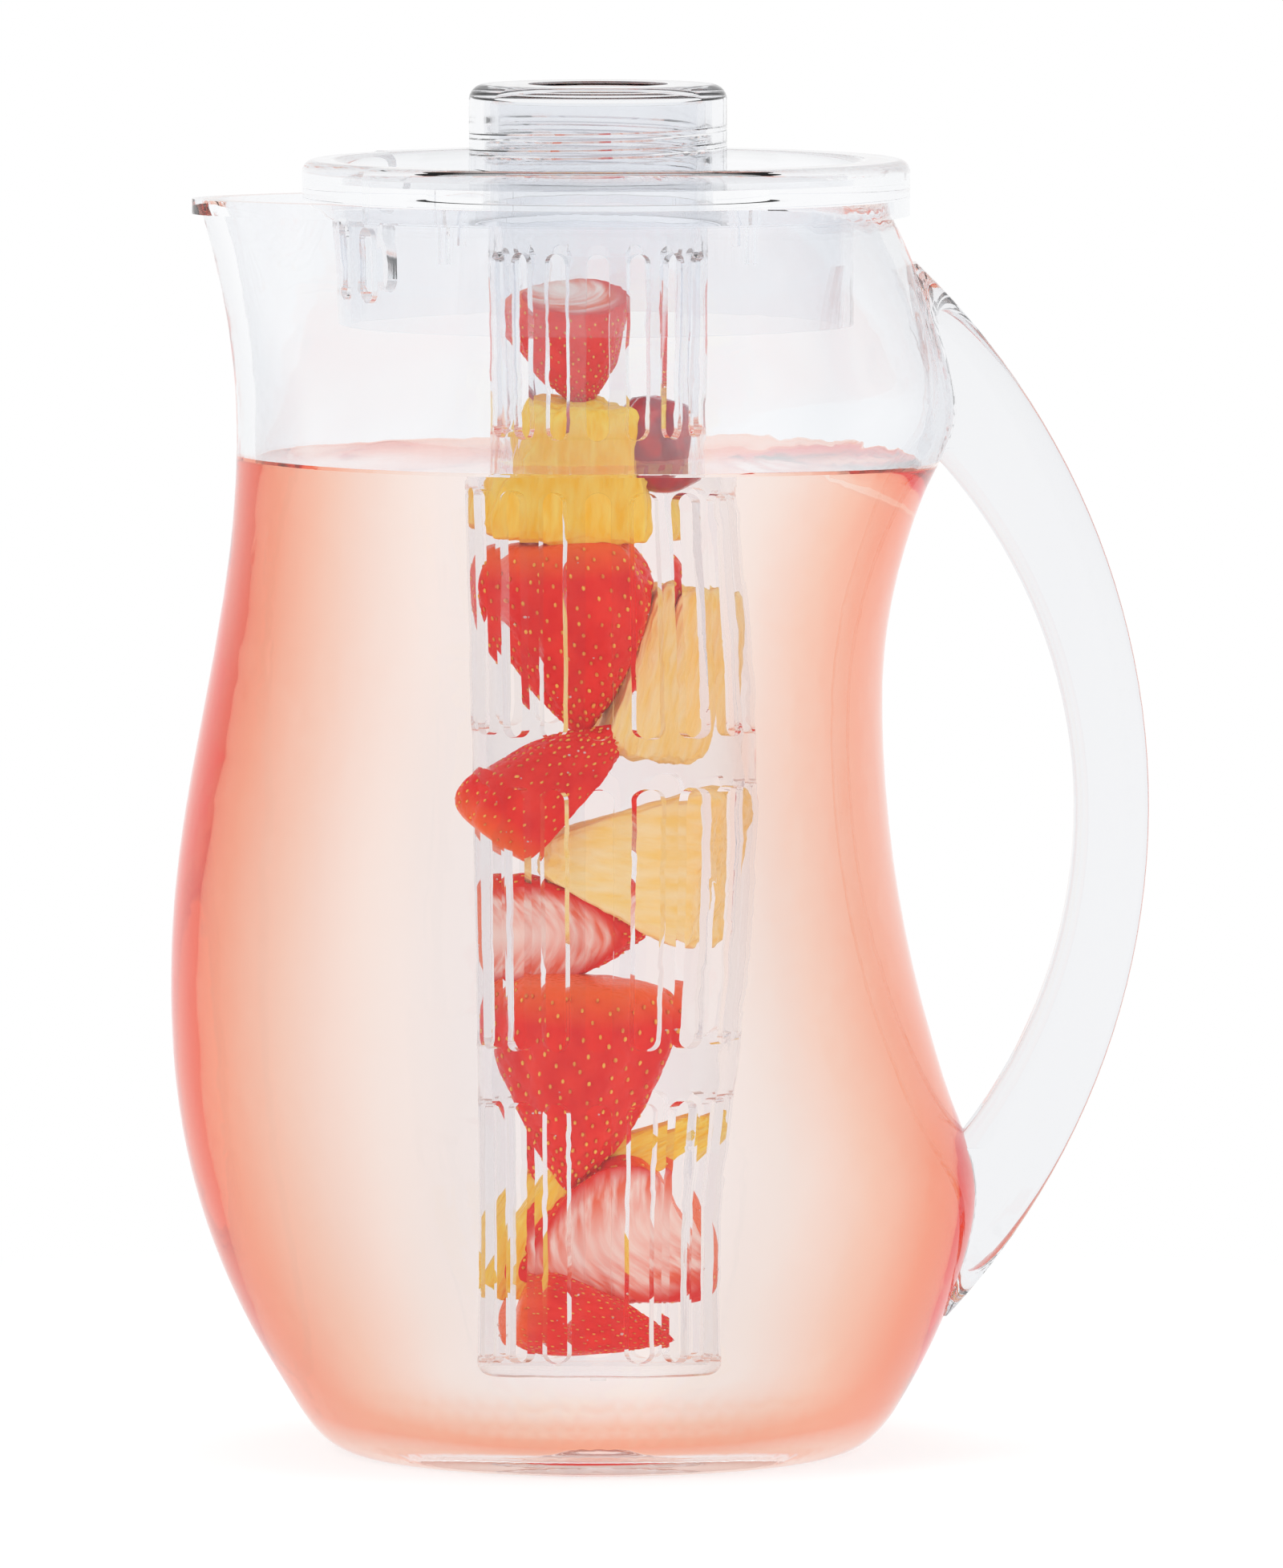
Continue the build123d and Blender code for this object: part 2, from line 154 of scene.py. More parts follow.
# The wall and the drink share their surface, and the wall's wet side already bends the light
DRINK_SIDE_INDEX = 1.0
PALEST_DRINK = (1, 0.98, 0.97)
PALEST_DRINK_TOP = (1, 0.97, 0.96)
CROWN_ORANGE = (1.0, 0.20, 0.03)
SEED_RUST = (0.80, 0.24, 0.02)
SEED_STRAW = (1.0, 0.60, 0.08)
STREAK_RED = (0.90, 0.17, 0.09)
HEART_CREAM = (1.0, 0.87, 0.80)
CUT_EDGE_RED = (0.80, 0.02, 0.015)
RIPE_YELLOW_LIGHT = (1.0, 0.80, 0.16)
PALE_YELLOW_LIGHT = (1.0, 0.87, 0.48)
BLOOM_RED = (0.62, 0.02, 0.03)
BUBBLE_PAINTED_GLINT = (1.0, 0.93, 0.90)
# Where a Mix node that mixes colours keeps its two colours and its result
MIX_COLOURS = (6, 7)
MIX_RESULT = 2


class Finish:
    """Node tree of one finish, with the kinds of node that the finishes share."""

    def __init__(self, tree):
        self.nodes = tree.nodes
        self.links = tree.links

    def fill(self, node, inputs):
        """Joins each input of a node to a socket, or writes a plain value on it."""
        for key, value in inputs.items():
            if isinstance(value, NodeSocket):
                self.links.new(value, node.inputs[key])
            else:
                node.inputs[key].default_value = value

    def add(self, kind, inputs, **settings):
        """New node with its settings and its inputs."""
        node = self.nodes.new(f"ShaderNode{kind}")
        for name, value in settings.items():
            setattr(node, name, value)
        self.fill(node, inputs)
        return node

    def shade(self, inputs):
        """Fills the material's shader."""
        self.fill(self.nodes["Principled BSDF"], inputs)

    def object_place(self):
        """Place on the object."""
        return self.add("TexCoord", {}).outputs["Object"]

    def fruit_place(self):
        """Place on the unturned fruit."""
        return self.add("Attribute", {}, attribute_name="berry").outputs["Vector"]

    def axes(self, vector):
        """The three parts of a vector."""
        split = self.add("SeparateXYZ", {"Vector": vector})
        return split.outputs["X"], split.outputs["Y"], split.outputs["Z"]

    def facing(self):
        """How far a surface turns away from the line of sight."""
        return self.add("LayerWeight", {"Blend": 0.5}).outputs["Facing"]

    def length(self, vector):
        """Length of a vector."""
        return self.add("VectorMath", {0: vector}, operation="LENGTH").outputs["Value"]

    def maths(self, operation, *values):
        """Result of a sum on sockets and plain numbers."""
        return self.add("Math", dict(enumerate(values)), operation=operation).outputs[0]

    def grain(self, place, scale, detail, stretch=(1, 1, 1)):
        """Noise on a place, drawn out along some axes."""
        mapping = self.add("Mapping", {"Vector": place, "Scale": stretch})
        return self.add(
            "TexNoise", {"Vector": mapping.outputs["Vector"], "Scale": scale, "Detail": detail}
        ).outputs["Fac"]

    def spread(self, value, low, high, start=0.3, end=0.7):
        """Value spread from low to high while the source goes from start to end."""
        return self.add(
            "MapRange",
            {"Value": value, "From Min": start, "From Max": end, "To Min": low, "To Max": high},
        ).outputs["Result"]

    def bump(self, height, strength, distance):
        """Bump from a height."""
        return self.add(
            "Bump", {"Height": height, "Strength": strength, "Distance": distance}
        ).outputs["Normal"]

    def ramp(self, value, *stops):
        """Colour that runs through (place, colour) stops as a value grows."""
        node = self.add("ValToRGB", {"Fac": value})
        elements = node.color_ramp.elements
        while len(elements) < len(stops):
            elements.new(0.5)
        for element, (place, colour) in zip(elements, stops):
            element.position = place
            element.color = (*colour, 1)
        return node.outputs["Color"]

    def blend(self, factor, *colours):
        """Two colours, each a socket or a plain colour, mixed by a factor."""
        node = self.add("Mix", {"Factor": factor}, data_type="RGBA")
        for socket, colour in zip(MIX_COLOURS, colours):
            self.fill(node, {socket: colour if isinstance(colour, NodeSocket) else (*colour, 1)})
        return node.outputs[MIX_RESULT]


def start_material(name):
    """New node material and its finish."""
    material = bpy.data.materials.new(name)
    material.use_nodes = True
    return material, Finish(material.node_tree)


def clear_acrylic(name, index, flow, painted_edge_shade, thickness=0.0):
    """Polished clear acrylic with faint flow marks along its moulding direction.

    Thickness, from 0 to 1, deepens the tint. The edge colour, mixed in where the surface turns from the
    view, is painted shade.
    """
    acrylic = bpy.context.scene.pitcher_acrylic
    material, finish = start_material(name)
    flow_marks = finish.grain(finish.object_place(), scale=30, detail=2, stretch=flow)
    cool, clear = (Vector(colour).lerp(acrylic.thick, thickness) for colour in (acrylic.cool, acrylic.clear))
    tint = finish.ramp(flow_marks, (0.3, cool), (0.62, clear))
    # Painted shade: the edge colour takes over where the surface turns away from the view.
    edge = finish.spread(finish.facing(), 0, 1, start=0.4, end=1)
    haze = finish.grain(finish.object_place(), scale=220, detail=2)
    finish.shade({
        "Base Color": finish.blend(edge, tint, painted_edge_shade),
        "Roughness": finish.spread(haze, 0, 0.035, start=0.45, end=0.8),
        "Normal": finish.bump(flow_marks, strength=0.03, distance=1 * MM),
        "Transmission Weight": 1.0,
        "IOR": index,
    })
    return material


def drink_side():
    """Pink drink against the wall: pale seen straight through, deepened to salmon by painted shade where it
    turns from the view.
    """
    drink = bpy.context.scene.pitcher_drink
    material, finish = start_material("pink_drink")
    swirl = finish.grain(finish.object_place(), scale=18, detail=2, stretch=(1, 1, 0.4))
    slant = finish.maths("ADD", finish.facing(), finish.spread(swirl, -0.012, 0.012))
    # Painted shade: the pink deepens to salmon as the surface turns away from the view, then pales again
    # where it turns furthest.
    tint = finish.ramp(
        slant, (0.0, drink.pale), (0.07, drink.blush), (0.15, drink.rose), (0.24, drink.salmon_edge_shade),
        (0.3, drink.salmon_edge_shade), (0.4, PALEST_DRINK),
    )
    finish.shade(
        {"Base Color": tint, "Roughness": 0.0, "Transmission Weight": 1.0, "IOR": DRINK_SIDE_INDEX}
    )
    return material


def drink_surface():
    """Still top of the drink, faintly rippled."""
    drink = bpy.context.scene.pitcher_drink
    material, finish = start_material("pink_drink_surface")
    ripple = finish.grain(finish.object_place(), scale=40, detail=1)
    finish.shade({
        "Base Color": finish.ramp(ripple, (0.3, drink.pale), (0.7, PALEST_DRINK_TOP)),
        "Normal": finish.bump(ripple, strength=0.05, distance=1 * MM),
        "Roughness": 0.0,
        "Transmission Weight": 1.0,
        "IOR": DRINK_INDEX,
    })
    return material


def strawberry_skin():
    """Ripe skin: mottled red, paler and more orange towards the crown."""
    fruit = bpy.context.scene.pitcher_fruit
    material, finish = start_material("strawberry_skin")
    place = finish.fruit_place()
    mottle = finish.grain(place, scale=3, detail=4)
    red = finish.ramp(mottle, (0.3, fruit.red), (0.72, fruit.bright))
    height = finish.axes(place)[2]
    crown = finish.spread(height, 0, 0.9, start=0.5, end=0.9)
    fine = finish.grain(place, scale=14, detail=3)
    finish.shade({
        "Base Color": finish.blend(crown, red, CROWN_ORANGE),
        "Roughness": finish.spread(fine, 0.18, 0.4),
        "Normal": finish.bump(fine, strength=0.25, distance=0.6 * MM),
        "IOR": FRUIT_INDEX,
    })
    return material


def strawberry_seed():
    """Seeds that go from rust to straw yellow."""
    material, finish = start_material("strawberry_seed")
    each = finish.grain(finish.object_place(), scale=420, detail=0)
    finish.shade({
        "Base Color": finish.ramp(each, (0.35, SEED_RUST), (0.65, SEED_STRAW)),
        "Roughness": 0.35,
    })
    return material


def width_across(finish, share, steps=12):
    """Curve that gives a strawberry's half width at a share of the way from crown to tip."""
    node = finish.add("FloatCurve", {"Value": share})
    points = node.mapping.curves[0].points
    shares = [step / steps for step in range(steps + 1)]
    for part in shares[1:-1]:
        points.new(part, berry_width(part))
    for point, part in zip(points, shares):
        point.location = (part, max(0.05, berry_width(part)))
    node.mapping.update()
    return node.outputs["Value"]


def strawberry_flesh():
    """Cut face: pale heart, streaks that run out to a red edge."""
    fruit = bpy.context.scene.pitcher_fruit
    material, finish = start_material("strawberry_flesh")
    place = finish.fruit_place()
    across, _, height = finish.axes(place)
    flat = finish.add("VectorMath", {0: place, 1: (1, 1, 0)}, operation="MULTIPLY")
    radius = finish.length(flat.outputs["Vector"])
    share = finish.spread(height, 1, 0, start=-1, end=1)
    depth = finish.maths("DIVIDE", radius, width_across(finish, share))
    slant = finish.maths("MULTIPLY_ADD", radius, -0.5, height)
    outwards = finish.add("CombineXYZ", {"X": radius, "Y": slant, "Z": across})
    fibre = finish.grain(outwards.outputs["Vector"], scale=1, detail=3, stretch=(2, 9, 1))
    streak = finish.ramp(fibre, (0.4, STREAK_RED), (0.66, fruit.flesh))
    inner = finish.blend(finish.spread(depth, 0, 1, start=0.1, end=0.65), HEART_CREAM, streak)
    edge = finish.spread(depth, 0, 1, start=0.7, end=0.95)
    finish.shade({
        "Base Color": finish.blend(edge, inner, CUT_EDGE_RED),
        "Normal": finish.bump(fibre, strength=0.3, distance=0.8 * MM),
        "Roughness": 0.3,
        "IOR": FRUIT_INDEX,
    })
    return material


def yellow_flesh(name, ripe, pale):
    """Juicy yellow fruit with fibres along its length."""
    material, finish = start_material(name)
    fibre = finish.grain(finish.fruit_place(), scale=2.6, detail=4, stretch=(3, 3, 0.7))
    finish.shade({
        "Base Color": finish.ramp(fibre, (0.3, ripe), (0.68, pale)),
        "Roughness": finish.spread(fibre, 0.2, 0.42),
        "Normal": finish.bump(fibre, strength=0.4, distance=1.2 * MM),
        "IOR": FRUIT_INDEX,
    })
    return material


def dark_berry_skin():
    """Taut dark skin with a lighter red bloom."""
    fruit = bpy.context.scene.pitcher_fruit
    material, finish = start_material("dark_berry_skin")
    bloom = finish.grain(finish.fruit_place(), scale=2.2, detail=3)
    finish.shade({
        "Base Color": finish.ramp(bloom, (0.35, fruit.dark), (0.7, BLOOM_RED)),
        "Roughness": finish.spread(bloom, 0.1, 0.28),
        "Coat Weight": 0.6,
    })
    return material


def gas_bubble():
    """Gas bubble whose near-white matt colour, with a faint pink film, is a painted glint."""
    material, finish = start_material("gas_bubble")
    film = finish.grain(finish.object_place(), scale=300, detail=0)
    # Painted glint: half of the bubble is a matt near-white that shines like a reflection.
    finish.shade({
        "Base Color": finish.ramp(film, (0.3, BUBBLE_PAINTED_GLINT), (0.7, WHITE)),
        "Roughness": 0.1,
        "Transmission Weight": 0.5,
        "IOR": 1.2,
    })
    return material


# Fruit shapes

# A strawberry is shaped with a half length and a half width of 1, then brought to size
BERRY_SEGMENTS = 128
BERRY_RINGS = 96
BERRY_SMOOTH = radians(50)
LUMPS = 0.12
LUMPS_ROUND = 2
LUMPS_ALONG = 3
CROWN_DENT = 0.16
CROWN_SHARE = 0.16
SEED_START = 0.1
SEED_SPAN = 0.84
SEED_TURN = pi * (3 - sqrt(5))
SEED_SHARE_STRAY = 0.012
SEED_TURN_STRAY = 0.06
SEED_SIZE = (0.021, 0.02, 0.024)
SEED_SINK = 0.014
# Steps along and round the berry between which a seed's direction is measured
SEED_STEP_ALONG = 0.02
SEED_STEP_ROUND = 0.05
PIT_RADIUS = 0.08
PIT_DEPTH = 0.034
# A seed this near a cut would stick out of it
SEED_CUT_ROOM = 0.04
ON_CUT = 1e-4
FACING_CUT = 0.99
STRAWBERRY_FINISHES = ("strawberry_skin", "strawberry_seed", "strawberry_flesh")
SEED_SLOT = 1
FLESH_SLOT = 2

# Name, half sizes in mm, turn in degrees, place in mm, and the cut as a point and a direction on the berry
STRAWBERRIES = (
    (
        "strawberry_top", (11.5, 11, 14), (0, -10, 0), (-5, -1, 214.8),
        ((0, 0, 0.72), (0.25, -0.3, 1)),
    ),
    ("strawberry_whole_high", (13.2, 12.8, 21.5), (0, -6, 20), (-4.6, -1, 158.5), None),
    (
        "strawberry_leaning", (11, 10.5, 16), (0, -140, 0), (-7.5, -2, 127.5),
        ((-0.35, 0, 0), (-1, 0.2, 0)),
    ),
    (
        "strawberry_half_pale", (10.5, 10, 13), (0, -95, 0), (-5, 3, 101),
        ((0, -0.3, 0), (-0.3, -1, 0.3)),
    ),
    ("strawberry_whole_low", (14.2, 13, 21.5), (0, -6, 120), (-3.4, -1, 74.5), None),
    (
        "strawberry_half_streaked", (14, 11.5, 15), (0, 66, 0), (0.8, 1, 44),
        ((0, -0.25, 0), (0.1, -1, 0)),
    ),
    ("strawberry_bottom", (7.4, 8.5, 13.5), (0, -76, 0), (-1.5, -3, 29.6), None),
)

WEDGE_ROUND = 0.22
WEDGE_ROUGH = 0.12
WEDGE_FINE_SHARE = 0.3
WEDGE_FINE_STEP = 4
WEDGE_THIN = 0.3
WEDGE_FIBRES = (2.2, 2.2, 0.9)

# Name, material, half sizes in mm, turn in degrees, place in mm, and how far it narrows
YELLOW_FRUIT = (
    ("yellow_chunk_top", "ripe_yellow_flesh", (13, 9, 13), (6, 4, 8), (-4.5, -2, 190), 0.25),
    ("yellow_wedge_high", "pale_yellow_flesh", (7, 7, 17), (0, 10, 10), (8.5, 4, 150), 0.4),
    ("yellow_wedge_middle", "pale_yellow_flesh", (16, 8, 11), (0, -84, 0), (2.5, 1, 113.5), 0.8),
    ("yellow_wedge_low", "ripe_yellow_flesh", (7, 6, 12), (0, 20, 0), (-8, 6, 46), 0.5),
    ("yellow_wedge_behind", "ripe_yellow_flesh", (5, 5, 6.5), (0, 60, 0), (8, 6, 61.5), 0.5),
)

DARK_BERRY_SIZE = (7.8, 8.2, 9.8)
DARK_BERRY_TURN = (0, 12, 30)
DARK_BERRY_PLACE = (10, -2, 196)
CREASE_DEPTH = 0.10
CREASE_HALF_WIDTH = 0.5
STALK_DENT = 0.18
STALK_HEIGHT = 0.75
DARK_BERRY_LUMPS = 0.05
DARK_BERRY_LUMP_STEP = 1.6

BUBBLE_DRAW = 5
SMALLEST_BUBBLE = 0.12
BUBBLE_SPREAD = 0.2
BUBBLE_OUT = 0.7


def berry_width(share):
    """Strawberry's half width at a share of the way from crown to tip, as a part of its widest."""
    return sin(pi * share**0.58) ** 0.8


def berry_point(share, turn):
    """Point on a strawberry, with lumps and a dented crown."""
    width = berry_width(share)
    lump = Vector((LUMPS_ROUND * cos(turn), LUMPS_ROUND * sin(turn), LUMPS_ALONG * share))
    swell = 1 + LUMPS * noise.noise(lump)
    dent = CROWN_DENT * max(0.0, 1 - share / CROWN_SHARE) ** 2
    return Vector((width * cos(turn) * swell, width * sin(turn) * swell, 1 - 2 * share - dent))


def seed_places(count):
    """(share, turn) of each seed, on a golden spiral from crown to tip, a little out of line."""
    chance = Random(count)
    places = []
    for seed in range(count):
        share = SEED_START + SEED_SPAN * (seed + 0.5) / count
        share += chance.uniform(-SEED_SHARE_STRAY, SEED_SHARE_STRAY)
        places.append((share, seed * SEED_TURN + chance.uniform(-SEED_TURN_STRAY, SEED_TURN_STRAY)))
    return places


def seed_frames(count):
    """(spot, direction along the berry, direction out of it) of each seed."""
    frames = []
    for share, turn in seed_places(count):
        along = berry_point(share + SEED_STEP_ALONG, turn) - berry_point(share - SEED_STEP_ALONG, turn)
        across = berry_point(share, turn + SEED_STEP_ROUND) - berry_point(share, turn - SEED_STEP_ROUND)
        out = across.cross(along).normalized() * -1
        frames.append((berry_point(share, turn), along.normalized(), out))
    return frames


def press_pits(mesh, seeds):
    """Presses a pit into the skin round each seed."""
    tree = kdtree.KDTree(len(seeds))
    for number, seed in enumerate(seeds):
        tree.insert(seed[0], number)
    tree.balance()
    for vertex in mesh.vertices:
        _, number, gap = tree.find(vertex.co)
        if gap < PIT_RADIUS:
            vertex.co -= seeds[number][2] * PIT_DEPTH * (1 + cos(pi * gap / PIT_RADIUS)) / 2


def cut_berry(berry, point, normal):
    """Takes off what lies beyond a plane and gives the cut its flesh."""
    pick_only(berry)
    bpy.ops.object.mode_set(mode="EDIT")
    bpy.ops.mesh.select_all(action="SELECT")
    bpy.ops.mesh.bisect(plane_co=point, plane_no=normal, use_fill=True, clear_outer=True)
    bpy.ops.object.mode_set(mode="OBJECT")
    for face in berry.data.polygons:
        if abs((face.center - point).dot(normal)) < ON_CUT and face.normal.dot(normal) > FACING_CUT:
            face.material_index = FLESH_SLOT


def set_seeds(mesh, seeds):
    """Sets a small seed in each pit."""
    shape = bmesh.new()
    shape.from_mesh(mesh)
    for spot, along, out in seeds:
        axes = Matrix((out.cross(along), out, along)).transposed().to_4x4()
        matrix = Matrix.Translation(spot - out * SEED_SINK) @ axes @ Matrix.Diagonal((*SEED_SIZE, 1))
        made = bmesh.ops.create_icosphere(shape, subdivisions=1, radius=1, matrix=matrix)
        for vertex in made["verts"]:
            for face in vertex.link_faces:
                face.material_index = SEED_SLOT
    shape.to_mesh(mesh)
    shape.free()


def store_place(mesh):
    """Keeps each point's place on the unturned fruit, for the materials."""
    layer = mesh.attributes.new("berry", "FLOAT_VECTOR", "POINT")
    for point, vertex in zip(layer.data, mesh.vertices):
        point.vector = vertex.co


def set_in_tube(piece, size, turn, place):
    """Sizes, turns and places a fruit shape: millimetres and degrees."""
    store_place(piece.data)
    matrix = Matrix.Translation(Vector(place) * MM)
    matrix @= Euler([radians(angle) for angle in turn]).to_matrix().to_4x4()
    matrix @= Matrix.Diagonal((*[half * MM for half in size], 1))
    piece.data.transform(matrix)
    piece.data.update()
    pick_only(piece)


def add_strawberry(name, size, turn, place, cut):
    """Strawberry with pitted seeds, whole or cut."""
    bpy.ops.object.select_all(action="DESELECT")
    bpy.ops.mesh.primitive_uv_sphere_add(segments=BERRY_SEGMENTS, ring_count=BERRY_RINGS, radius=1)
    berry = rename(bpy.context.object, name)
    for vertex in berry.data.vertices:
        share = acos(max(-1.0, min(1.0, vertex.co.z))) / pi
        vertex.co = berry_point(share, atan2(vertex.co.y, vertex.co.x))
    seeds = seed_frames(bpy.context.scene.pitcher_fruit.seeds)
    press_pits(berry.data, seeds)
    for material in STRAWBERRY_FINISHES:
        berry.data.materials.append(bpy.data.materials[material])
    if cut:
        point, normal = Vector(cut[0]), Vector(cut[1]).normalized()
        cut_berry(berry, point, normal)
        seeds = [seed for seed in seeds if (seed[0] - point).dot(normal) < -SEED_CUT_ROOM]
    set_seeds(berry.data, seeds)
    set_in_tube(berry, size, turn, place)
    bpy.ops.object.shade_smooth_by_angle(angle=BERRY_SMOOTH)
    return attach(berry, "infuser")


def add_wedge(name, material, size, turn, place, lean):
    """Cut wedge of soft fruit: a block drawn in towards one end, rounded, with a torn, fibrous surface."""
    bpy.ops.object.select_all(action="DESELECT")
    bpy.ops.mesh.primitive_cube_add(size=2)
    wedge = rename(bpy.context.object, name)
    bpy.ops.object.mode_set(mode="EDIT")
    bpy.ops.mesh.select_all(action="SELECT")
    bpy.ops.mesh.bevel(offset=WEDGE_ROUND, segments=2)
    bpy.ops.mesh.subdivide(number_cuts=3)
    bpy.ops.object.mode_set(mode="OBJECT")
    smooth = wedge.modifiers.new("round", "SUBSURF")
    smooth.levels = 2
    smooth.render_levels = 2
    bpy.ops.object.modifier_apply(modifier=smooth.name)
    shift = Vector((0, 0, len(name)))
    for vertex in wedge.data.vertices:
        share = (vertex.co.z + 1) / 2
        vertex.co.x *= 1 - lean * share
        vertex.co.y *= 1 - WEDGE_THIN * lean * share
        fibre = vertex.co * Vector(WEDGE_FIBRES) + shift
        torn = noise.noise(fibre) + WEDGE_FINE_SHARE * noise.noise(fibre * WEDGE_FINE_STEP)
        vertex.co *= 1 + WEDGE_ROUGH * torn
    wedge.data.materials.append(bpy.data.materials[material])
    set_in_tube(wedge, size, turn, place)
    bpy.ops.object.shade_smooth()
    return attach(wedge, "infuser")


def add_dark_berry():
    """Round dark berry with a crease down one side and a dent for its stalk."""
    bpy.ops.object.select_all(action="DESELECT")
    bpy.ops.mesh.primitive_uv_sphere_add(segments=64, ring_count=48, radius=1)
    berry = rename(bpy.context.object, "dark_berry")
    for vertex in berry.data.vertices:
        turn = abs(atan2(vertex.co.y, -vertex.co.x))
        crease = CREASE_DEPTH * max(0.0, 1 - turn / CREASE_HALF_WIDTH) ** 2
        stalk = STALK_DENT * max(0.0, vertex.co.z - STALK_HEIGHT) / (1 - STALK_HEIGHT)
        lump = DARK_BERRY_LUMPS * noise.noise(vertex.co * DARK_BERRY_LUMP_STEP)
        vertex.co *= 1 - crease - stalk + lump
    berry.data.materials.append(bpy.data.materials["dark_berry_skin"])
    set_in_tube(berry, DARK_BERRY_SIZE, DARK_BERRY_TURN, DARK_BERRY_PLACE)
    bpy.ops.object.shade_smooth()
    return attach(berry, "infuser")


# Jug, tube and drink

# Directions in which the moulded acrylic flowed, as a stretch of its flow marks
UPRIGHT_FLOW = (1, 1, 0.15)
TUBE_FLOW = (1, 1, 0.1)
EVEN_FLOW = (1, 1, 1)
HANDLE_THICKNESS = 0.65
KNOB_THICKNESS = 0.3
JUG_SMOOTH = radians(35)
TUBE_SMOOTH = radians(30)
DRINK_SMOOTH = radians(40)
# Two clear faces in exact contact render black, so the jug's rim stays this far under the lid
LID_GAP = 0.1 * MM
SAME_POINT = 2e-6
SAME_LEVEL = 1e-6
# A face of the jug is on its inside if it points inwards this much, or upwards near the floor
INWARD = 0.15
UPWARD = 0.4
FLOOR_TOP = 30 * MM
WET_SLOT = 1
FULL_SLOT = 2
MENISCUS_WIDTH = 3 * MM
DRINK_TOP_SLOT = 1


def copy_of(node, name, materials):
    """Merged copy of a CAD node's mesh as a new object, ready to work on, with its own materials."""
    piece = bpy.data.objects.new(name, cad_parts[node].data.copy())
    bpy.context.scene.collection.objects.link(piece)
    rename(piece, name)
    piece.data.materials.clear()
    for material in materials:
        piece.data.materials.append(material)
    for face in piece.data.polygons:
        face.material_index = 0
    pick_only(piece)
    bpy.ops.object.mode_set(mode="EDIT")
    bpy.ops.mesh.select_all(action="SELECT")
    bpy.ops.mesh.remove_doubles(threshold=SAME_POINT)
    bpy.ops.object.mode_set(mode="OBJECT")
    bpy.ops.mesh.customdata_custom_splitnormals_clear()
    return piece


def faces_drink_space(middle, normal):
    """Whether a face of the jug is on its inside."""
    reach = max(hypot(middle.x, middle.y), SAME_POINT)
    inward = -(normal.x * middle.x + normal.y * middle.y) / reach
    return inward > INWARD or (normal.z > UPWARD and middle.z < FLOOR_TOP)


def split_at_level(piece):
    """Cuts a piece's faces along the drink's level."""
    pick_only(piece)
    bpy.ops.object.mode_set(mode="EDIT")
    bpy.ops.mesh.select_all(action="SELECT")
    bpy.ops.mesh.bisect(plane_co=(0, 0, bpy.context.scene.pitcher_drink.level), plane_no=(0, 0, 1))
    bpy.ops.object.mode_set(mode="OBJECT")


def largest_face(shape):
    """Largest face of a shape in edit mode; on the drink, this is its top."""
    return max(shape.faces, key=lambda face: face.calc_area())


class PITCHER_OT_clear_acrylic(Operator):
    """Gives the handle, lid and knob their clear acrylic"""

    bl_idname = "pitcher.clear_acrylic"
    bl_label = "Handle, lid and knob"

    def execute(self, context):
        acrylic = context.scene.pitcher_acrylic
        # The last colour of each piece is its painted edge shade.
        for name, flow, thickness, edge in (
            ("handle", UPRIGHT_FLOW, HANDLE_THICKNESS, acrylic.edge),
            ("lid", EVEN_FLOW, 0.0, acrylic.thin_edge_shade),
            ("knob", EVEN_FLOW, KNOB_THICKNESS, acrylic.thin_edge_shade),
        ):
            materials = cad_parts[name].data.materials
            materials.clear()
            materials.append(clear_acrylic(f"clear_acrylic_{name}", acrylic.index, flow, edge, thickness))
        return {"FINISHED"}


class PITCHER_OT_jug(Operator):
    """Makes the jug, with a wet inside up to the drink's level"""

    bl_idname = "pitcher.jug"
    bl_label = "Jug"

    def execute(self, context):
        acrylic = context.scene.pitcher_acrylic
        # Each jug finish mixes in a painted edge shade, salmon below the drink's level.
        jug = copy_of("pitcher_body", "jug", [
            clear_acrylic("clear_acrylic_jug", acrylic.index, UPRIGHT_FLOW, acrylic.edge),
            clear_acrylic("clear_acrylic_jug_wet", acrylic.wet_index, UPRIGHT_FLOW, acrylic.wet_edge_shade),
            clear_acrylic("clear_acrylic_jug_full", acrylic.index, UPRIGHT_FLOW, acrylic.wet_edge_shade),
        ])
        rim = max(vertex.co.z for vertex in jug.data.vertices)
        for vertex in jug.data.vertices:
            if vertex.co.z > rim - LID_GAP:
                vertex.co.z = rim - LID_GAP
        split_at_level(jug)
        for face in jug.data.polygons:
            if face.center.z < context.scene.pitcher_drink.level:
                inside = faces_drink_space(face.center, face.normal)
                face.material_index = WET_SLOT if inside else FULL_SLOT
        bpy.ops.object.shade_smooth_by_angle(angle=JUG_SMOOTH)
        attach(jug, "pitcher")
        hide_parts("pitcher_body")
        return {"FINISHED"}


class PITCHER_OT_infuser(Operator):
    """Makes the slotted infuser tube, wet up to the drink's level"""

    bl_idname = "pitcher.infuser"
    bl_label = "Infuser tube"

    def execute(self, context):
        acrylic = context.scene.pitcher_acrylic
        tube = copy_of("infuser_rod", "infuser_tube", [
            clear_acrylic("clear_acrylic_infuser", acrylic.index, TUBE_FLOW, acrylic.thin_edge_shade),
            clear_acrylic("clear_acrylic_infuser_wet", acrylic.wet_index, TUBE_FLOW, acrylic.thin_edge_shade),
        ])
        split_at_level(tube)
        for face in tube.data.polygons:
            if face.center.z < context.scene.pitcher_drink.level:
                face.material_index = WET_SLOT
        bpy.ops.object.shade_smooth_by_angle(angle=TUBE_SMOOTH)
        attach(tube, "infuser")
        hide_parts("infuser_rod")
        return {"FINISHED"}


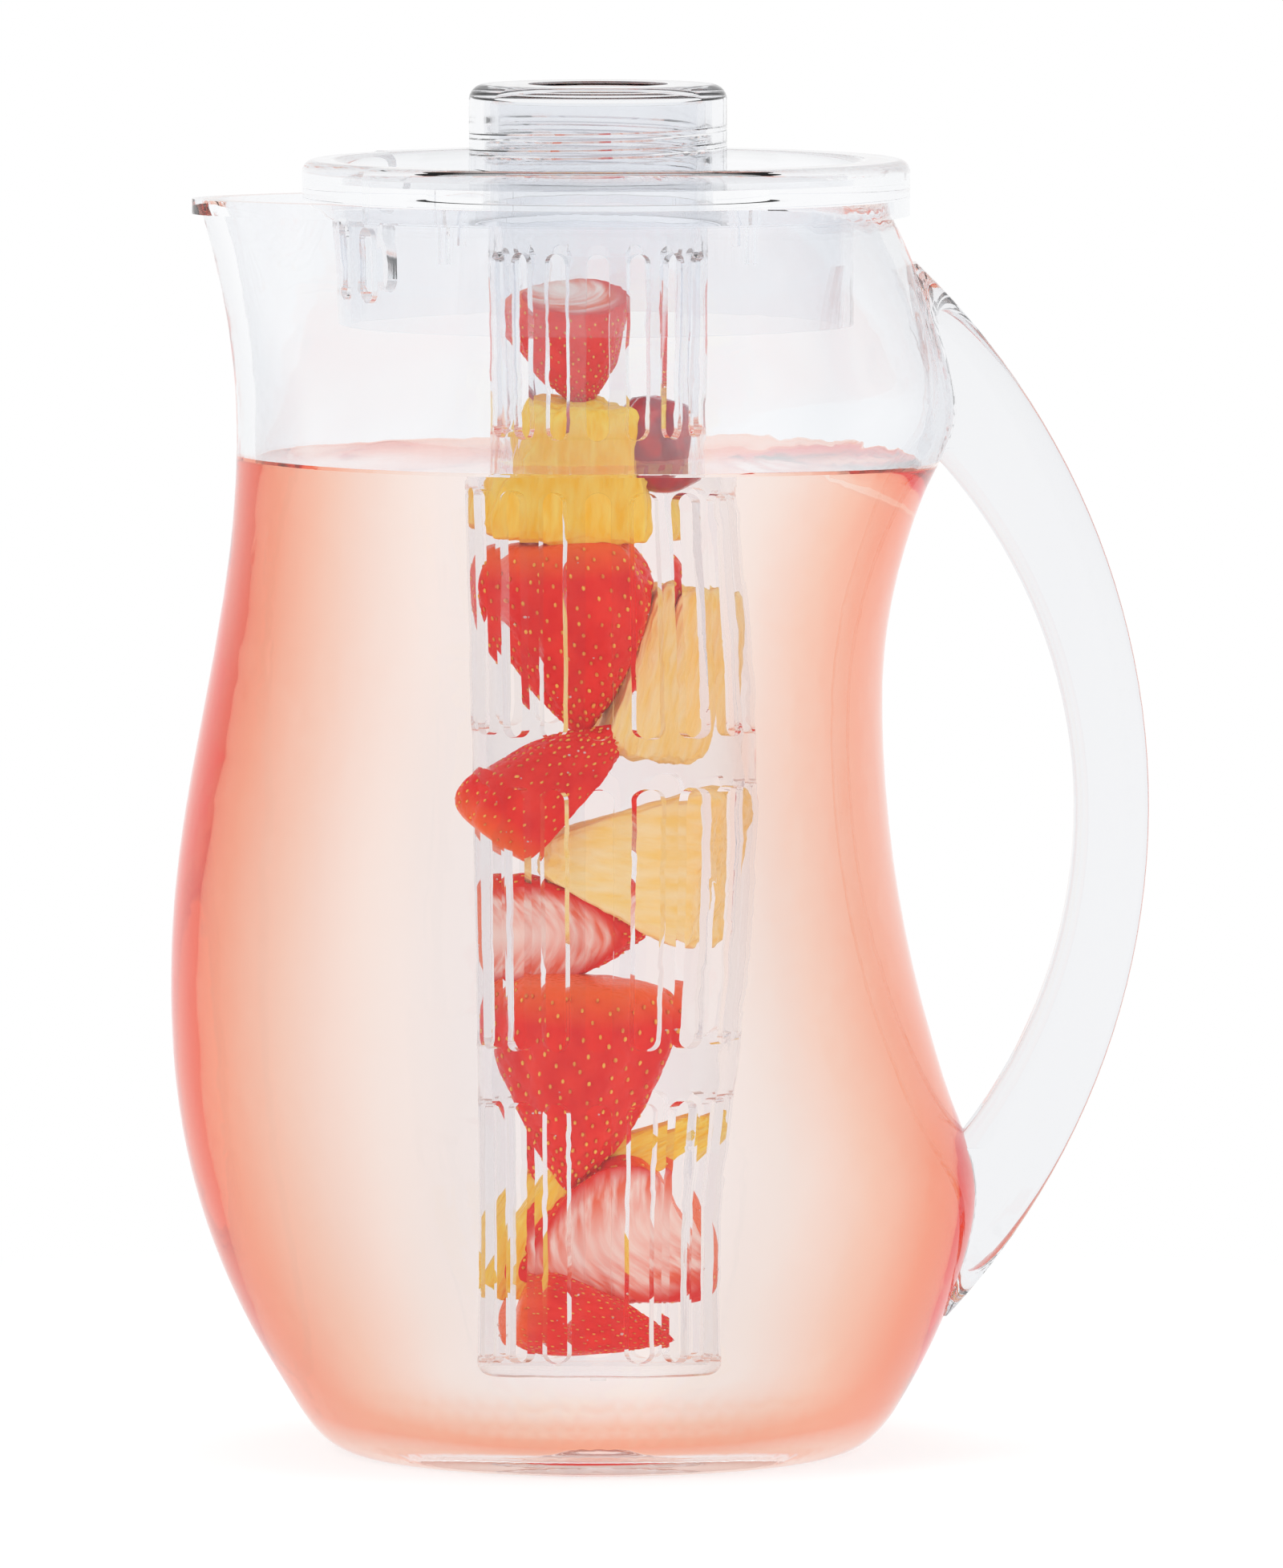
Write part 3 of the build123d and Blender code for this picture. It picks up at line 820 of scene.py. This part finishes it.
class PITCHER_OT_drink(Operator):
    """Fills the jug with the drink up to its level"""

    bl_idname = "pitcher.drink"
    bl_label = "Drink"

    def execute(self, context):
        settings = context.scene.pitcher_drink
        drink = copy_of("pitcher_body", "drink", [drink_side(), drink_surface()])
        bpy.ops.object.mode_set(mode="EDIT")
        self.keep_inside(drink)
        bpy.ops.mesh.select_all(action="SELECT")
        bpy.ops.mesh.bisect(
            plane_co=(0, 0, settings.level), plane_no=(0, 0, 1), use_fill=True, clear_outer=True
        )
        bpy.ops.mesh.select_all(action="SELECT")
        bpy.ops.mesh.normals_make_consistent(inside=False)
        bpy.ops.transform.shrink_fatten(value=settings.wall_overlap)
        self.raise_meniscus(drink, settings.meniscus)
        bpy.ops.object.mode_set(mode="OBJECT")
        bpy.ops.object.shade_smooth_by_angle(angle=DRINK_SMOOTH)
        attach(drink, "pitcher")
        return {"FINISHED"}

    def keep_inside(self, drink):
        """Deletes all faces but those on the jug's inside."""
        bpy.ops.mesh.select_mode(type="FACE")
        bpy.ops.mesh.select_all(action="DESELECT")
        shape = bmesh.from_edit_mesh(drink.data)
        for face in shape.faces:
            face.select_set(not faces_drink_space(face.calc_center_median(), face.normal))
        bmesh.update_edit_mesh(drink.data)
        bpy.ops.mesh.delete(type="FACE")

    def raise_meniscus(self, drink, height):
        """Gives the drink its top, which climbs a little where it meets the wall."""
        bpy.ops.mesh.select_all(action="DESELECT")
        shape = bmesh.from_edit_mesh(drink.data)
        top = largest_face(shape)
        top.select = True
        top.material_index = DRINK_TOP_SLOT
        bmesh.update_edit_mesh(drink.data)
        bpy.ops.mesh.inset(thickness=MENISCUS_WIDTH)
        shape = bmesh.from_edit_mesh(drink.data)
        top = largest_face(shape)
        inner_ring = set(top.verts)
        level = top.verts[0].co.z
        for vertex in shape.verts:
            if vertex.co.z > level - SAME_LEVEL and vertex not in inner_ring:
                vertex.co.z += height
        bmesh.update_edit_mesh(drink.data)


# Fruit and bubbles


class PITCHER_OT_strawberries(Operator):
    """Puts whole and cut strawberries in the infuser"""

    bl_idname = "pitcher.strawberries"
    bl_label = "Strawberries"

    def execute(self, context):
        strawberry_skin()
        strawberry_seed()
        strawberry_flesh()
        for strawberry in STRAWBERRIES:
            add_strawberry(*strawberry)
        return {"FINISHED"}


class PITCHER_OT_yellow_fruit(Operator):
    """Puts yellow fruit wedges and the dark berry in the infuser"""

    bl_idname = "pitcher.yellow_fruit"
    bl_label = "Yellow fruit and dark berry"

    def execute(self, context):
        fruit = context.scene.pitcher_fruit
        yellow_flesh("ripe_yellow_flesh", fruit.yellow, RIPE_YELLOW_LIGHT)
        yellow_flesh("pale_yellow_flesh", fruit.cream, PALE_YELLOW_LIGHT)
        dark_berry_skin()
        for wedge in YELLOW_FRUIT:
            add_wedge(*wedge)
        add_dark_berry()
        return {"FINISHED"}


class PITCHER_OT_bubbles(Operator):
    """Sets gas bubbles on the strawberries that are in the drink"""

    bl_idname = "pitcher.bubbles"
    bl_label = "Bubbles"

    def execute(self, context):
        chance = Random(BUBBLE_DRAW)
        level = context.scene.pitcher_drink.level
        count = context.scene.pitcher_fruit.bubbles
        shape = bmesh.new()
        for name, _, _, berry_place, _ in STRAWBERRIES:
            if berry_place[2] * MM > level:
                continue
            for vertex in chance.sample(list(bpy.data.objects[name].data.vertices), count):
                radius = (SMALLEST_BUBBLE + BUBBLE_SPREAD * chance.random() ** 3) * MM
                place = Matrix.Translation(vertex.co + vertex.normal * radius * BUBBLE_OUT)
                if vertex.co.z < level:
                    bmesh.ops.create_icosphere(shape, subdivisions=1, radius=radius, matrix=place)
        mesh = bpy.data.meshes.new("gas_bubbles")
        shape.to_mesh(mesh)
        shape.free()
        mesh.materials.append(gas_bubble())
        bubbles = bpy.data.objects.new("gas_bubbles", mesh)
        context.scene.collection.objects.link(bubbles)
        pick_only(bubbles)
        bpy.ops.object.shade_smooth()
        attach(bubbles, "infuser")
        return {"FINISHED"}


# Studio

# Light crosses dozens of clear walls between the camera and the white background
CLEAR_WALLS = 128
DIFFUSE_BOUNCES = 4
SENSOR_WIDTH = 36
VIEW_DEPTH = 50
FLOOR_SIZE = 20
FLOOR_COLOUR = (0.95, 0.95, 0.95, 1)
# Heights, as the upward part of a direction, between which ceiling and room fade from white
CEILING_FADE = (0.45, 0.9)
ROOM_FADE = (0.0, 0.6)
CEILING_COOLNESS = 1.06
ROOM_COOLNESS = 1.03
WORLD_LIGHT = (0.8, 0.8, 0.8)
# Share of plain white in the floor under the pitcher, and the distances over which it grows to 1
SHADOW_WHITE = 0.72
SHADOW_NEAR = 0.08
SHADOW_FAR = 0.35
LAMP_TARGET = (0, 0, 0.12)
# Name, place, size and watts
LAMPS = (
    ("lamp_left", (-1.1, -0.9, 1.1), 0.9, 12),
    ("lamp_right", (1.3, -0.5, 0.9), 0.7, 7),
    ("lamp_top", (0.0, 0.2, 1.6), 0.9, 8),
)


def aim(direction):
    """Turn that points a lamp or camera along a direction."""
    return direction.to_track_quat("-Z", "Y").to_euler()


def seen_directly(finish):
    """Whether the camera sees it, and whether it does so directly or by way of gloss or glass."""
    path = finish.add("LightPath", {}).outputs
    camera = path["Is Camera Ray"]
    seen = finish.maths("MAXIMUM", camera, path["Is Glossy Ray"])
    return camera, finish.maths("MAXIMUM", seen, path["Is Transmission Ray"])


class PITCHER_OT_studio(Operator):
    """Sets up the white studio: floor, world, lamps and camera"""

    bl_idname = "pitcher.studio"
    bl_label = "Studio"

    def execute(self, context):
        settings = context.scene.pitcher_studio
        scene = context.scene
        scene.view_settings.view_transform = "Standard"
        scene.cycles.max_bounces = CLEAR_WALLS
        scene.cycles.transmission_bounces = CLEAR_WALLS
        scene.cycles.glossy_bounces = CLEAR_WALLS
        scene.cycles.diffuse_bounces = DIFFUSE_BOUNCES
        # Filtered gloss would lose half of the light that reaches the fruit through the clear walls
        scene.cycles.blur_glossy = 0
        self.add_world(scene, settings.shade, settings.room)
        self.add_floor()
        for lamp in LAMPS:
            self.add_lamp(*lamp)
        self.add_camera(scene, settings)
        return {"FINISHED"}

    def add_camera(self, scene, settings):
        """Camera in front of the pitcher, a little above its middle."""
        camera = bpy.data.objects.new("camera", bpy.data.cameras.new("camera"))
        scene.collection.objects.link(camera)
        away = Vector((0, -cos(settings.elevation), sin(settings.elevation)))
        camera.location = Vector(settings.target) + away * settings.distance
        camera.rotation_euler = aim(-away)
        camera.data.sensor_fit = "AUTO"
        camera.data.sensor_width = SENSOR_WIDTH
        camera.data.lens = SENSOR_WIDTH * settings.distance / settings.view_height
        camera.data.clip_end = VIEW_DEPTH
        scene.camera = camera

    def add_world(self, scene, shade, room):
        """White world; glass also sees a greyer ceiling, and polished surfaces mirror a dimmer room."""
        world = bpy.data.worlds.new("white_studio")
        world.use_nodes = True
        scene.world = world
        finish = Finish(world.node_tree)
        direction = finish.add("TexCoord", {}).outputs["Generated"]
        height = finish.axes(direction)[2]
        ceiling_colour = (shade, shade, shade * CEILING_COOLNESS)
        ceiling = finish.ramp(height, (CEILING_FADE[0], WHITE), (CEILING_FADE[1], ceiling_colour))
        room_colour = (room, room, room * ROOM_COOLNESS)
        walls = finish.ramp(height, (ROOM_FADE[0], WHITE), (ROOM_FADE[1], room_colour))
        camera, seen = seen_directly(finish)
        path = finish.add("LightPath", {}).outputs
        colour = finish.blend(path["Is Reflection Ray"], ceiling, walls)
        colour = finish.blend(camera, colour, WHITE)
        light = finish.blend(seen, WORLD_LIGHT, colour)
        after_matt = finish.maths("GREATER_THAN", path["Diffuse Depth"], 0.5)
        light = finish.blend(after_matt, light, WHITE)
        finish.fill(finish.nodes["Background"], {"Color": light, "Strength": 1.0})

    def add_floor(self):
        """Pale floor that keeps the pitcher's shadow and is white elsewhere."""
        bpy.ops.object.select_all(action="DESELECT")
        bpy.ops.mesh.primitive_plane_add(size=FLOOR_SIZE)
        floor = rename(bpy.context.object, "floor")
        material, finish = start_material("white_floor")
        finish.shade({"Base Color": FLOOR_COLOUR, "Roughness": 0.9})
        away = finish.length(finish.object_place())
        share = finish.spread(away, SHADOW_WHITE, 1, start=SHADOW_NEAR, end=SHADOW_FAR)
        camera, seen = seen_directly(finish)
        kept = finish.add("Mix", {"Factor": camera, "A": seen, "B": share})
        glow = finish.add("Emission", {})
        mix = finish.add("MixShader", {
            "Fac": kept.outputs["Result"],
            1: finish.nodes["Principled BSDF"].outputs["BSDF"],
            2: glow.outputs["Emission"],
        })
        finish.fill(finish.nodes["Material Output"], {"Surface": mix.outputs["Shader"]})
        floor.data.materials.append(material)

    def add_lamp(self, name, place, size, watts):
        """Square softbox aimed at the pitcher."""
        lamp = bpy.data.objects.new(name, bpy.data.lights.new(name, "AREA"))
        lamp.data.energy = watts
        lamp.data.size = size
        lamp.visible_glossy = False
        lamp.visible_transmission = False
        lamp.location = place
        lamp.rotation_euler = aim(Vector(LAMP_TARGET) - lamp.location)
        bpy.context.scene.collection.objects.link(lamp)


class PITCHER_PT_sidebar(Panel):
    """Lists the pitcher's settings and steps"""

    bl_idname = "PITCHER_PT_sidebar"
    bl_label = "Fruit infuser pitcher"
    bl_space_type = "VIEW_3D"
    bl_region_type = "UI"
    bl_category = "Pitcher"

    def draw(self, context):
        layout = self.layout
        for group in SETTINGS:
            settings = getattr(context.scene, group)
            box = layout.box()
            for name in settings.__annotations__:
                box.prop(settings, name)
        for step in STEPS:
            layout.operator(step.bl_idname)


SETTINGS = {
    "pitcher_acrylic": AcrylicSettings,
    "pitcher_drink": DrinkSettings,
    "pitcher_fruit": FruitSettings,
    "pitcher_studio": StudioSettings,
}
STEPS = (
    PITCHER_OT_clear_acrylic,
    PITCHER_OT_jug,
    PITCHER_OT_infuser,
    PITCHER_OT_drink,
    PITCHER_OT_strawberries,
    PITCHER_OT_yellow_fruit,
    PITCHER_OT_bubbles,
    PITCHER_OT_studio,
)


def register():
    for name, group in SETTINGS.items():
        bpy.utils.register_class(group)
        setattr(bpy.types.Scene, name, PointerProperty(type=group))
    for item in (*STEPS, PITCHER_PT_sidebar):
        bpy.utils.register_class(item)


def unregister():
    for item in (PITCHER_PT_sidebar, *reversed(STEPS)):
        bpy.utils.unregister_class(item)
    for name, group in SETTINGS.items():
        delattr(bpy.types.Scene, name)
        bpy.utils.unregister_class(group)


def main():
    register()
    bpy.ops.pitcher.clear_acrylic()
    bpy.ops.pitcher.jug()
    bpy.ops.pitcher.infuser()
    bpy.ops.pitcher.drink()
    bpy.ops.pitcher.strawberries()
    bpy.ops.pitcher.yellow_fruit()
    bpy.ops.pitcher.bubbles()
    bpy.ops.pitcher.studio()


if __name__ == "__main__":
    main()
